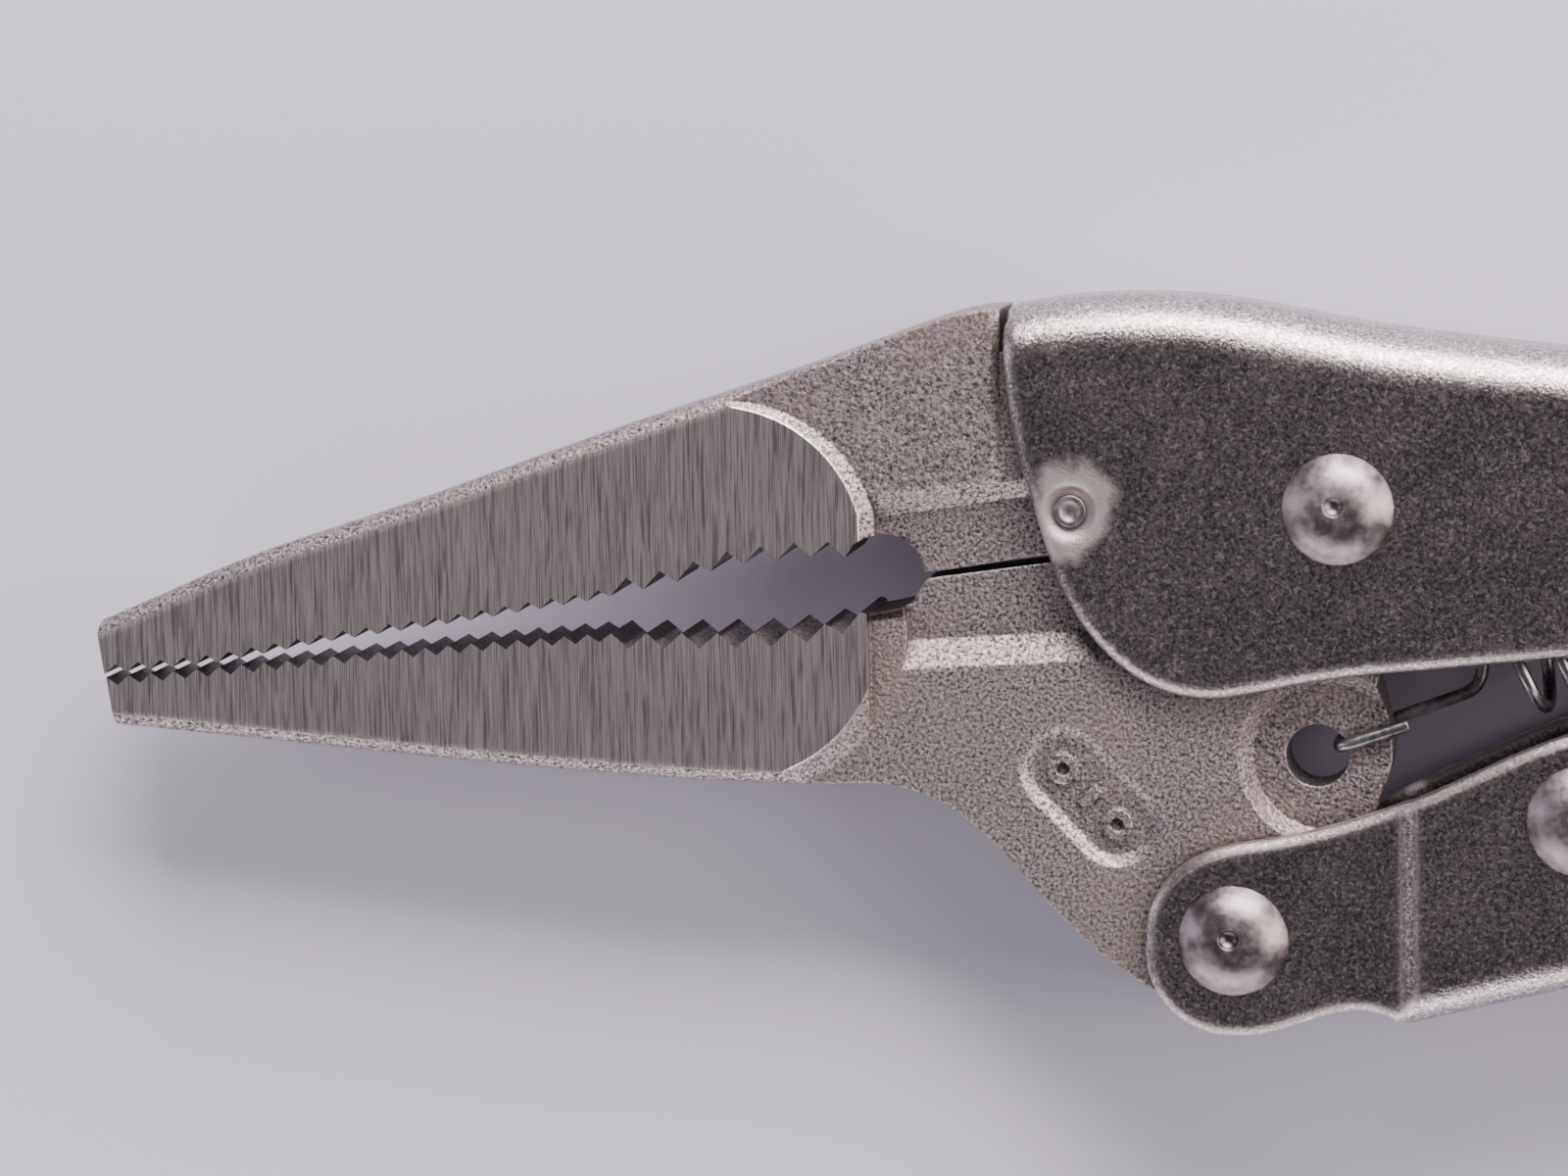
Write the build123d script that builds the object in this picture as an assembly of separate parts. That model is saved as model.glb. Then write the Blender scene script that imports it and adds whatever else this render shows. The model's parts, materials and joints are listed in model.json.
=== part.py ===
"""Long-nose locking pliers with wire cutter, closed and locked, lying on one cheek.

Drafting frame: the main pivot is at X = Y = 0 on the mid-plane Z = 0, the nose points along -X
and the fixed handle is on the +Y side. The finished tool is moved so that its origin is the
middle of the underside of its bounding box. Millimetres throughout.
"""
import os
from math import atan2, cos, radians, sin
from build123d import *

# ---- pivots -------------------------------------------------------------------------------
PIVOT_A = (0.0, 0.0)            # fixed handle to moving jaw
PIVOT_B = (-6.45, -26.1)        # moving jaw to moving handle
PIVOT_C = (14.4, -18.55)        # moving handle to toggle link
PIVOT_E = (50.0, -18.5)         # moving handle to release lever
LINK_LENGTH = 46.0              # link rivet to the round nose of the link
LINK_ANGLE = 17.5               # slope of the closed link, just past dead centre
SCREW_ANGLE = -3.0              # slope of the adjusting screw

# ---- jaws ---------------------------------------------------------------------------------
JAW_HALF = 3.05                 # half thickness of the tang and the moving jaw's plate
NECK_HALF = 3.4                 # half thickness of the fixed jaw's neck
NOSE_HALF = 4.0                 # half thickness of the ground nose at its rear end
NOSE_REAR_X = -28.2
TIP_HALF = 2.0                  # half thickness of the nose at its tip
TIP_X = -77.7
CUTTER_HALF = 2.15              # half thickness beside the wire cutter
STEP_SLOPE = 58.0               # slopes of the forged steps, measured from upright
FIXED_POCKET_SLOPE = 50.0
MOVING_POCKET_SLOPE = 62.0
EAR_SLOPE = 37.0
BACK_ROUND = 1.15               # rounding along the backs of the jaws
FINE_PITCH = 1.45               # serrations of the nose
FINE_DEPTH = 0.55
COARSE_PITCH = 2.1              # teeth of the pipe grip
COARSE_DEPTH = 0.95
TOOTH_CHANGE_X = -44.5          # where the fine serrations turn into coarse teeth
HUB_RADIUS = 8.2                # round of the moving jaw about the main pivot
HUB_GAP = 0.5                   # clearance from the hub to the fixed jaw's tang
EAR_HALF = 2.0                  # half thickness of the spring ear
EAR_CENTRE = (-0.9, -15.2)
EAR_RADIUS = 4.5
SPRING_HOLE = (-1.5, -15.15)
SPRING_HOLE_RADIUS = 1.9

# ---- pressed channels ---------------------------------------------------------------------
FIXED_SHEET = 1.5
CHEEK_GAP = 0.15                # free play from the jaw's plate to a cheek
MOVING_SHEET = 1.3
JOGGLE = 0.6                    # how far the moving handle widens behind its ears
ROOF_BEND = 3.2                 # outer bend of the fixed handle
WEB_BEND = 2.5                  # outer bend of the moving handle
FRONT_RIM = 0.75                # die-rolled rim on the fixed handle's front edge
SHEET_RIM = 0.45                # the same on the moving handle
BARREL_START = 7.5              # along the screw from the link's nose centre
BARREL_END = 17.0
SEAM_WIDTH = 0.5                # slit where the sheet meets under the barrel

# ---- rivets -------------------------------------------------------------------------------
RIVET_RADIUS = 2.5
RUNNING_FIT = 0.05
HEAD_RADIUS = 3.35
HEAD_HEIGHT = 1.5
LEVER_RIVET_RADIUS = 1.6
STAKE_PIN = (-16.0, -0.1)
STAKE_RADIUS = 0.95
STAKE_RING_RADIUS = 1.45        # ring pressed round the pin by the staking punch
STAKE_DEPTH = 0.25

# ---- linkage ------------------------------------------------------------------------------
LINK_HALF = 2.2
LINK_EYE_RADIUS = 4.4
LINK_NOSE_RADIUS = 3.3
SCREW_GAP = 2.1                 # link nose to screw end, taken up by the real toggle's arc
LEVER_SHEET = 1.2

# ---- screw and spring ---------------------------------------------------------------------
SCREW_RADIUS = 3.0
THREAD_FIT = 0.08
KNOB_START = 20.0
KNOB_LENGTH = 9.0
KNOB_RADIUS = 5.0
KNOB_NECK_RADIUS = 3.9
WIRE_RADIUS = 0.4
COIL_RADIUS = 2.55
COIL_PITCH = 2.4
COIL_TURNS = 11.5
COIL_START = (10.3, -10.3)
TAB_X = 47.0                    # lanced tab that holds the rear end of the spring
TAB_HOLE_RADIUS = 0.65

# ---- derived ------------------------------------------------------------------------------
CHANNEL_INNER = JAW_HALF + CHEEK_GAP
CHEEK_OUTER = CHANNEL_INNER + FIXED_SHEET
EAR_INNER = CHANNEL_INNER
EAR_OUTER = EAR_INNER + MOVING_SHEET
GRIP_INNER = EAR_INNER + JOGGLE
GRIP_OUTER = EAR_OUTER + JOGGLE
BARREL_RADIUS = CHEEK_OUTER
LINK_NOSE = (PIVOT_C[0] + LINK_LENGTH * cos(radians(LINK_ANGLE)),
             PIVOT_C[1] + LINK_LENGTH * sin(radians(LINK_ANGLE)))
SCREW_START = LINK_NOSE_RADIUS + SCREW_GAP
ROOF_END = (LINK_NOSE[0] + 8.23, LINK_NOSE[1] + 4.27)
CHEEK_END = (LINK_NOSE[0] + 7.93, LINK_NOSE[1] - 5.13)
SCREW_PLANE = Plane(origin=(*LINK_NOSE, 0),
                    z_dir=(cos(radians(SCREW_ANGLE)), sin(radians(SCREW_ANGLE)), 0))
TALL = 40.0                     # longer than any cut needs to be

# ---- profile lines, each from front to rear -------------------------------------------------
FIXED_CREST = [(-77.1, -10.6), (-70, -9.85), (-62, -8.35), (-54, -7.15), (-46, -5.8),
               (-40.8, -4.7), (-36.8, -3.5), (-32.2, -2.95), (-29.8, -3.0)]
MOVING_CREST = [(-77.0, -10.8), (-69.8, -10.1), (-61, -9.2), (-52.3, -8.35), (-45, -7.75),
                (-35.8, -7.65), (-33.5, -7.45), (-31.1, -7.05), (-28.9, -6.3)]
FIXED_BACK = [(-79, -7.9), (-76.3, -6.85), (-68, -3.4), (-60, -0.8), (-50, 2.65), (-40, 6.0),
              (-32, 8.55), (-25.5, 10.85), (-22.4, 11.75), (-19, 11.8)]
MOVING_BACK = [(-79, -13.7), (-75.9, -13.95), (-60, -15.35), (-44, -16.6), (-34, -17.0),
               (-28.5, -16.9)]
ROOF_LINE = [(-20, 12.0), (-16, 12.55), (-12, 12.72), (-6, 12.25), (0, 11.1), (13.5, 9.25),
             *[(ROOF_END[0] - back, ROOF_END[1] + rise)
               for back, rise in ((36.5, 7.35), (20.5, 4.65), (8.5, 2.15), (0, 0))]]
GRIP_LINE = [(3.8, -31.35), (13.5, -29.0), (25, -26.8), (37, -25.6), (50, -25.8), (60, -27.3),
             (71.5, -30.0)]


def trace(start, *steps):
    """Flat face from a run of steps: one point is a line, two an arc, more a smooth curve."""
    edges = []
    here = start
    for step in steps:
        if len(step) == 1:
            edges.append(Line(here, step[0]))
        elif len(step) == 2:
            edges.append(ThreePointArc(here, step[0], step[1]))
        else:
            edges.append(Spline(here, *step))
        here = step[-1]
    if here != start:
        edges.append(Line(here, start))
    return make_face(edges)


def plate(face, half):
    """Solid of a flat face, equally thick on both sides of the mid-plane."""
    return extrude(Pos(0, 0, -half) * face, amount=2 * half, dir=(0, 0, 1))


def disc(centre, radius, half):
    """Round plate about a point of the mid-plane."""
    return Pos(centre[0], centre[1], 0) * Cylinder(radius, 2 * half)


def block(x0, x1, y0, y1, half):
    """Box between two X and two Y positions."""
    return Pos((x0 + x1) / 2, (y0 + y1) / 2, 0) * Box(x1 - x0, y1 - y0, 2 * half)


def height_at(line, x):
    """Y of a profile line at one X."""
    for (x0, y0), (x1, y1) in zip(line, line[1:]):
        if x <= x1:
            return y0 + (y1 - y0) * (x - x0) / (x1 - x0)
    return line[-1][1]


def teeth(crest, x_from, x_to, pitch, depth):
    """Single-point steps of a zigzag that follows a crest line, notches depth away from it."""
    count = round(abs(x_to - x_from) / pitch)
    stride = (x_to - x_from) / count
    steps = []
    for number in range(count):
        notch = x_from + (number + 0.5) * stride
        crown = x_from + (number + 1) * stride
        steps.append([(notch, height_at(crest, notch) + depth)])
        steps.append([(crown, height_at(crest, crown))])
    return steps


def raised(face, low, high):
    """Pad between two levels on both sides, its walls leaning in; the outline runs anticlockwise."""
    pad = extrude(Pos(0, 0, low) * face, amount=high - low, dir=(0, 0, 1), taper=STEP_SLOPE)
    return pad + mirror(pad, Plane.XY)


def sunk(face, floor, top, slope=STEP_SLOPE):
    """Pocket on both sides whose walls open outwards from the floor outline."""
    pocket = extrude(Pos(0, 0, floor) * face, amount=top - floor, dir=(0, 0, 1), taper=-slope)
    return pocket + mirror(pocket, Plane.XY)


def jaw_wedge():
    """Block that thins evenly from the rear of the nose to the tip."""
    far = 30
    rear = TIP_HALF + (NOSE_HALF - TIP_HALF) * (far - TIP_X) / (NOSE_REAR_X - TIP_X)
    outline = Polyline((TIP_X, TIP_HALF), (far, rear), (far, -rear), (TIP_X, -TIP_HALF), close=True)
    return extrude(Plane.XZ * make_face(outline), amount=TALL, both=True)


def rounded_blank(back, far):
    """Wedge between a jaw's rounded back and a Y on its other side."""
    face = trace(back[0], back[1:], [(back[-1][0], far)], [(back[0][0], far)])
    blank = plate(face, NOSE_HALF + 3) & jaw_wedge()
    long_edges = [edge for edge in blank.edges()
                  if edge.length > 40 and edge.geom_type == GeomType.BSPLINE]
    return fillet(long_edges, BACK_ROUND)


def serrated(crest, side):
    """Rear coarse teeth and front fine serrations along a crest, from rear to front."""
    steps = teeth(crest, crest[-1][0], TOOTH_CHANGE_X, COARSE_PITCH, side * COARSE_DEPTH)
    return steps + teeth(crest, TOOTH_CHANGE_X, crest[0][0], FINE_PITCH, side * FINE_DEPTH)


def on_circle(radius, degrees):
    """Point on a circle about the main pivot."""
    return (radius * cos(radians(degrees)), radius * sin(radians(degrees)))


def fixed_jaw():
    """Upper jaw: ground nose, neck, cutter edge and a tang hollowed out round the moving hub."""
    hollow = HUB_RADIUS + HUB_GAP
    outline = trace(FIXED_CREST[0], [(-77.5, -8.0)], [(-77.2, -7.1), (-76.2, -6.2)], [(-60, 10)],
                    [(-20.3, 16)], [(-20.3, 9.3)], [(-16, 9.85), (-12, 9.95), (-6.2, 9.5)],
                    [on_circle(hollow, 122)], [on_circle(hollow, 158), on_circle(hollow, 194)],
                    [(-17.6, -3.0)], [(-20, -3.3), (-23, -3.8), (-25.2, -4.05)],
                    [(-26.6, -2.0), (-29.3, -2.2)], [FIXED_CREST[-1]], *serrated(FIXED_CREST, 1))
    neck = trace((-90, -20), [(-20.3, -20)], [(-20.3, 20)], [(-90, 20)])
    nose = trace((-90, -20), [(-27.8, -20)], [(-28.1, -0.3)], [(-31.6, 4.7), (-39, 6.3)], [(-90, 8)])
    levels = block(-90, 0, -20, 20, JAW_HALF) + raised(neck, JAW_HALF, NECK_HALF)
    pocket = trace((-33, -8), [(-33, -1.4)], [(-20, 0.4)], [(-13.5, 1.3)], [(-13.5, -8)])
    levels -= sunk(pocket, CUTTER_HALF, NOSE_HALF, FIXED_POCKET_SLOPE)
    levels += plate(nose, NECK_HALF) + raised(nose, NECK_HALF, NOSE_HALF + 0.6)
    blank = rounded_blank(FIXED_BACK, -30) + block(FIXED_BACK[-1][0], 0, -30, 20, JAW_HALF)
    body = plate(outline, NOSE_HALF + 3) & blank & levels
    return body - disc(STAKE_PIN, STAKE_RADIUS, TALL)


def moving_jaw():
    """Lower jaw: ground nose, cutter edge, hub, spring ear and the arm to the moving handle."""
    serrations = serrated(MOVING_CREST, -1)[::-1]
    outline = trace(MOVING_CREST[0], *serrations[1:], [MOVING_CREST[-1]], [(-28.3, -6.5)],
                    [(-27.2, -6.3), (-26.0, -6.0)], [(-25.35, -4.9), (-25.0, -4.45)], [(-17, -3.4)],
                    [on_circle(HUB_RADIUS, 202)],
                    [on_circle(HUB_RADIUS, 180), on_circle(HUB_RADIUS, 90)],
                    [on_circle(HUB_RADIUS, 40), on_circle(HUB_RADIUS, 0)],
                    [(7.4, -4.6), (3.3, -8.4), (2.1, -10.8)],
                    [(2.7, -12.7), (3.0, -15.0), (2.4, -17.2)],
                    [(1.2, -20.4), (0.0, -23.2), (-0.65, -26.1)],
                    [(-6.45, -31.9), (-11.3, -29.5)],
                    [(-14, -27.7), (-18, -23.9), (-22.5, -19.2), MOVING_BACK[-1]],
                    [(MOVING_BACK[-1][0], -24)], [(-75.0, -24)])
    nose = trace((-90, -30), [(-37.6, -30)], [(-37.6, -17.6)], [(-29.2, -14.5), (-26.2, -7.6)],
                 [(-27.9, 5)], [(-90, 5)])
    pocket = trace((-33, 0), [(-33, -8.6)], [(-16.2, -7.7)], [(-13.5, -7.5)], [(-13.5, 0)])
    levels = block(-90, 30, -40, 20, JAW_HALF)
    levels -= sunk(pocket, CUTTER_HALF, NOSE_HALF, MOVING_POCKET_SLOPE)
    levels += plate(nose, JAW_HALF) + raised(nose, JAW_HALF, NOSE_HALF + 0.6)
    blank = rounded_blank(MOVING_BACK, 20) + block(MOVING_BACK[-1][0], 30, -40, 20, JAW_HALF)
    body = plate(outline, NOSE_HALF + 3) & blank & levels
    body -= sunk(Pos(*EAR_CENTRE, 0) * Circle(EAR_RADIUS), EAR_HALF, NOSE_HALF, EAR_SLOPE)
    body -= disc(SPRING_HOLE, SPRING_HOLE_RADIUS, TALL)
    for centre in (PIVOT_A, PIVOT_B):
        body -= disc(centre, RIVET_RADIUS + RUNNING_FIT, TALL)
    return body - maker_panel()


def maker_panel():
    """Obround sunk panel with a raised ring, pip and ring standing on its floor."""
    place = Pos(-15.2, -17.65, 0) * Rot(0, 0, -46)
    panel = sunk(place * SlotCenterToCenter(4.6, 3.9), JAW_HALF - 0.45, JAW_HALF + 0.4)
    boss = Circle(0.95) - Circle(0.4)
    for face in (Pos(-2.35, 0, 0) * boss, Rectangle(0.7, 1.5), Pos(2.35, 0, 0) * boss):
        panel -= plate(place * face, JAW_HALF - 0.12)
    return panel


def lowered(line, drop):
    """Profile line shifted straight down."""
    return [(x, y - drop) for x, y in line]


def screw_rod(radius, start, end):
    """Round rod on the screw's axis between two distances from the link's nose centre."""
    return SCREW_PLANE.offset(start) * extrude(Circle(radius), amount=end - start)


def flat_edges(body, level, test):
    """Edges lying on the two outer faces at one level whose middle passes a test."""
    return [edge for edge in body.edges()
            if abs(abs(edge.bounding_box().min.Z) - level) < 0.01
            and abs(abs(edge.bounding_box().max.Z) - level) < 0.01 and test(edge.center())]


def fixed_handle():
    """Pressed channel, open downwards, with the screw's barrel formed in its rear end."""
    roof = ROOF_LINE
    front = [(-19.7, 6), (-19.0, 2.5), (-18.1, -0.5), (-16.8, -4.5), (-14.2, -8.5), (-11, -10.8),
             (-8, -11.45), (-4, -10.9), (0, -10.2), (6, -9.6), (13.5, -8.9), (30, -8.6),
             (CHEEK_END[0] - 16.2, CHEEK_END[1] + 0.75), CHEEK_END]
    body = plate(trace((-20, 11.5), front, [roof[-1]], roof[-2::-1]), CHEEK_OUTER)
    body = fillet(flat_edges(body, CHEEK_OUTER, lambda spot: spot.Y > 5 and spot.X > 5), ROOF_BEND)
    front_face = [face for face in body.faces()
                  if face.geom_type == GeomType.EXTRUSION and face.center().Y < 0][0]
    body = fillet([edge for edge in front_face.edges() if abs((edge % 0.5).Z) < 0.5], FRONT_RIM)
    low = lowered(roof, FIXED_SHEET)
    rear = ROOF_END[0] - 2
    space = trace((-30, 20 - TALL), [(-30, low[0][1] - 1.2)], [low[0]], low[1:-1],
                  [(rear, low[-1][1] + 0.6)], [(rear, 20 - TALL)])
    space = plate(space, CHANNEL_INNER)
    bends = flat_edges(space, CHANNEL_INNER, lambda spot: spot.Y > -2 and -22 < spot.X < rear - 2.5)
    body -= fillet(bends, ROOF_BEND - FIXED_SHEET)
    body += screw_rod(BARREL_RADIUS, BARREL_START, BARREL_END)
    body -= screw_rod(SCREW_RADIUS + THREAD_FIT, 0, BARREL_END + 1)
    body -= block(LINK_NOSE[0] + BARREL_START - 1, LINK_NOSE[0] + BARREL_END + 2, -TALL, -6,
                  SEAM_WIDTH / 2)
    body -= block(TAB_X - 7, TAB_X, 1.5, 9, 1.6)
    body += spring_tab()
    body -= disc(PIVOT_A, RIVET_RADIUS, TALL) + disc(STAKE_PIN, STAKE_RADIUS, TALL)
    ring = Pos(*STAKE_PIN, 0) * Circle(STAKE_RING_RADIUS)
    return body - sunk(ring, CHEEK_OUTER - STAKE_DEPTH, CHEEK_OUTER + 0.1, 40)


def spring_tab():
    """Strip lanced from the roof and bent down to hold the spring."""
    top = height_at(ROOF_LINE, TAB_X) - FIXED_SHEET / 2
    tab = Pos(TAB_X, top - 3.5, 0) * Box(1.2, 7.0, 3.2)
    return tab - Pos(TAB_X, -0.4, 0) * Rot(0, 90, 0) * Cylinder(TAB_HOLE_RADIUS, 6)


def joggled(front, rear):
    """Endless slab of one half thickness at the ears that widens to another behind them."""
    outline = Polyline((-30, front), (3.6, front), (4.6, rear), (90, rear), (90, -rear), (4.6, -rear),
                       (3.6, -front), (-30, -front), close=True)
    return extrude(Plane.XZ * make_face(outline), amount=TALL + 20, both=True)


def moving_handle():
    """Pressed channel, open upwards, with two ears at the front that straddle the jaw's arm."""
    web = GRIP_LINE
    ears = [(-11.7, -26.0), (-11.4, -24.0), (-10.2, -22.2), (-8, -20.8), (-4, -19.95), (0, -19.0),
            (5, -17.2), (13.5, -13.5), (22, -12.1), (32, -11.7), (44, -12.6), (58, -15.3), (70, -18.9)]
    cheek = trace((-6.45, -31.95), [(-10.4, -30.35), ears[0]], ears[1:],
                  [(72.6, -20.4), (73.3, -23.0)], [(73.3, -27.4)], [(72.7, -29.3), web[-1]],
                  web[-2::-1], [(1.2, -30.3), (-2.5, -31.15), (-6.45, -31.95)])
    body = plate(cheek, GRIP_OUTER)
    body = fillet(flat_edges(body, GRIP_OUTER, lambda spot: spot.Y < -24 and 4 < spot.X < 71), WEB_BEND)
    body &= joggled(EAR_OUTER, GRIP_OUTER)
    floor = [(x, y + MOVING_SHEET) for x, y in web]
    space = trace((-20, TALL / 2), [(-20, -TALL)], [(3.9, -TALL)], [floor[0]], floor[1:],
                  [(TALL * 2.2, floor[-1][1] - 4)], [(TALL * 2.2, TALL / 2)])
    body -= plate(space, GRIP_OUTER) & joggled(EAR_INNER, GRIP_INNER)
    rims = flat_edges(body, EAR_OUTER, lambda spot: spot.X < 3.5)
    rims += flat_edges(body, GRIP_OUTER, lambda spot: spot.X > 5 and spot.Y > -22)
    body = fillet([edge for edge in rims if edge.length > 9], SHEET_RIM)
    for centre in (PIVOT_B, PIVOT_C):
        body -= disc(centre, RIVET_RADIUS, TALL)
    return body - disc(PIVOT_E, LEVER_RIVET_RADIUS, TALL)


def toggle_link():
    """Bar from the link rivet to its round nose, with a washer boss on both sides of the eye."""
    along = Pos(*PIVOT_C, 0) * Rot(0, 0, LINK_ANGLE)
    eye, nose, length = LINK_EYE_RADIUS, LINK_NOSE_RADIUS, LINK_LENGTH
    bar = trace((0, -eye), [(9, -3.1), (20, -2.5), (34, -2.4), (length, -nose)],
                [(length + nose, 0), (length, nose)],
                [(34, 3.3), (20, 3.6), (9, 3.9), (0, eye)], [(-eye, 0), (0, -eye)])
    body = plate(along * bar, LINK_HALF) + disc(PIVOT_C, LINK_EYE_RADIUS - 0.3, GRIP_INNER - 0.3)
    return body - disc(PIVOT_C, RIVET_RADIUS + RUNNING_FIT, TALL)


def release_lever():
    """Pressed lever between the moving handle's cheeks, with a finger pad at its rear end."""
    outer = GRIP_INNER - 0.3
    side = trace((39.2, -17.4), [(40.2, -16.8), (41.4, -17.0)], [(46, -16.2), (50, -15.2), (56, -17.0),
                 (64, -19.6), (73.5, -22.2)], [(73.5, -24.3)],
                 [(64, -23.6), (54, -22.8), (46, -21.6), (40, -19.6)], [(39.0, -18.6), (39.2, -17.4)])
    body = plate(side, outer)
    hollow = trace((42.5, -10), [(42.5, -19.4)], [(46, -20.4), (54, -21.6), (64, -22.4), (80, -23.4)],
                   [(80, -10)])
    body -= plate(hollow, outer - LEVER_SHEET)
    pad = trace((72, -22.9), [(76, -23.4), (80, -24.6), (83.4, -26.9)], [(83.9, -27.8), (82.9, -27.9)],
                [(79.3, -25.9), (76, -24.8), (72, -24.3)])
    body += plate(pad, outer)
    return body - disc(PIVOT_E, LEVER_RIVET_RADIUS + RUNNING_FIT, TALL)


def rivet(centre, shank, head, half):
    """Domed rivet with a small off-centre dimple left by the setting tool in each head."""
    height = HEAD_HEIGHT * head / HEAD_RADIUS
    section = trace((0, -half - height), [(head * 0.72, -half - height * 0.62), (head, -half)],
                    [(shank, -half)], [(shank, half)], [(head, half)],
                    [(head * 0.72, half + height * 0.62), (0, half + height)])
    body = revolve(Plane.XZ * section, Axis.Z)
    dimple = Pos(-0.15, 0.35, half + height + 0.3) * Sphere(0.7)
    return Pos(*centre, 0) * (body - dimple - mirror(dimple, Plane.XY))


def stake_pin():
    """Headless pin flush with the cheeks, its ends dished by the staking punch."""
    dish = Pos(*STAKE_PIN, CHEEK_OUTER + 0.95) * Sphere(1.15)
    return disc(STAKE_PIN, STAKE_RADIUS, CHEEK_OUTER) - dish - mirror(dish, Plane.XY)


def adjusting_screw():
    """Screw rod up to the end of its thread; the bore is cut to the same thread."""
    rod = screw_rod(SCREW_RADIUS, SCREW_START, KNOB_START + 2)
    tip = screw_rod(SCREW_RADIUS, SCREW_START - 1, SCREW_START + 0.6)
    return rod - tip + screw_rod(SCREW_RADIUS - 0.5, SCREW_START, SCREW_START + 0.7)


def tube(start, end):
    """Straight length of spring wire between two points."""
    path = Line(start, end)
    return sweep(Plane(origin=path @ 0, z_dir=path % 0) * Circle(WIRE_RADIUS), path=path)


def tension_spring():
    """Open coil with a hook through the jaw's ear in front and the lanced tab behind."""
    slope = atan2(0.6 - COIL_START[1], TAB_X - COIL_START[0])
    axis = (cos(slope), sin(slope), 0)
    length = COIL_PITCH * COIL_TURNS
    coil = Helix(COIL_PITCH, length, COIL_RADIUS, center=(*COIL_START, 0), direction=axis)
    body = sweep(Plane(origin=coil @ 0, z_dir=coil % 0) * Circle(WIRE_RADIUS), path=coil)
    side = EAR_HALF + WIRE_RADIUS + 0.15
    front = [coil @ 0, (8.6, -8.0, -0.6 * side), (8.2, -9.6, -side), (7.9, -11.5, -side),
             (6.0, -12.3, -side), (-0.25, -14.6, -side), (-0.25, -14.6, side), (4.0, -13.2, side)]
    rear = [coil @ 1, (TAB_X - 6, -1.6, 0), (TAB_X - 2.2, -0.4, 0), (TAB_X + 1.8, -0.4, 0),
            (TAB_X + 1.8, 1.6, 0)]
    for chain in (front, rear):
        for start, end in zip(chain, chain[1:]):
            body += tube(start, end) + Pos(*end) * Sphere(WIRE_RADIUS)
    return body


def thumb_knob():
    """Round knob on the screw's end, plain here, with a narrower neck towards the barrel."""
    knob = screw_rod(KNOB_RADIUS, KNOB_START + 1.4, KNOB_START + KNOB_LENGTH)
    knob = chamfer(knob.edges(), 0.6) + screw_rod(KNOB_NECK_RADIUS, KNOB_START, KNOB_START + 1.6)
    return knob - screw_rod(SCREW_RADIUS, KNOB_START - 1, KNOB_START + 2)


def pieces():
    """Every piece of the tool by name, in the drafting frame."""
    return {
        "fixed_handle": fixed_handle(),
        "fixed_jaw": fixed_jaw(),
        "jaw_stake_pin": stake_pin(),
        "main_rivet": rivet(PIVOT_A, RIVET_RADIUS, HEAD_RADIUS, CHEEK_OUTER),
        "moving_jaw": moving_jaw(),
        "moving_handle": moving_handle(),
        "jaw_rivet": rivet(PIVOT_B, RIVET_RADIUS, HEAD_RADIUS, EAR_OUTER),
        "link_rivet": rivet(PIVOT_C, RIVET_RADIUS, HEAD_RADIUS, GRIP_OUTER),
        "toggle_link": toggle_link(),
        "release_lever": release_lever(),
        "lever_rivet": rivet(PIVOT_E, LEVER_RIVET_RADIUS, LEVER_RIVET_RADIUS + 0.9, GRIP_OUTER),
        "tension_spring": tension_spring(),
        "adjusting_screw": adjusting_screw(),
        "thumb_knob": thumb_knob(),
    }


def build():
    """Write every piece to its own file, with the origin under the middle of the bounding box."""
    os.makedirs("parts", exist_ok=True)
    solids = pieces()
    boxes = [solid.bounding_box() for solid in solids.values()]
    low = Vector(*(min(getattr(box.min, axis) for box in boxes) for axis in "XYZ"))
    high = Vector(*(max(getattr(box.max, axis) for box in boxes) for axis in "XYZ"))
    shift = Vector(-(low.X + high.X) / 2, -(low.Y + high.Y) / 2, -low.Z)
    for name, solid in solids.items():
        export_step(Pos(shift) * solid, f"parts/{name}.step")
    print("size", high - low, "shift", shift)
    spots = {"A": PIVOT_A, "B": PIVOT_B, "C": PIVOT_C, "E": PIVOT_E, "nose": LINK_NOSE}
    for name, spot in spots.items():
        print(name, Vector(*spot, 0) + shift)


build()
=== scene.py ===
# %% [markdown]
# # Long-nose locking pliers
# The tool is an assembly of forged, pressed and turned steel pieces, all nickel plated. The frame
# that is loaded here already holds every piece in its right place, in metres: this lesson gives
# each one its finish, and makes the three shapes that need finer detail than the frame holds, the
# screw's thread, the knob's knurling and the drawn wire of the return spring.

# %% Load the frame
import json
from math import atan2, cos, pi, radians, sin, tau

import bmesh
import bpy
from mathutils import Matrix, Vector


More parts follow.
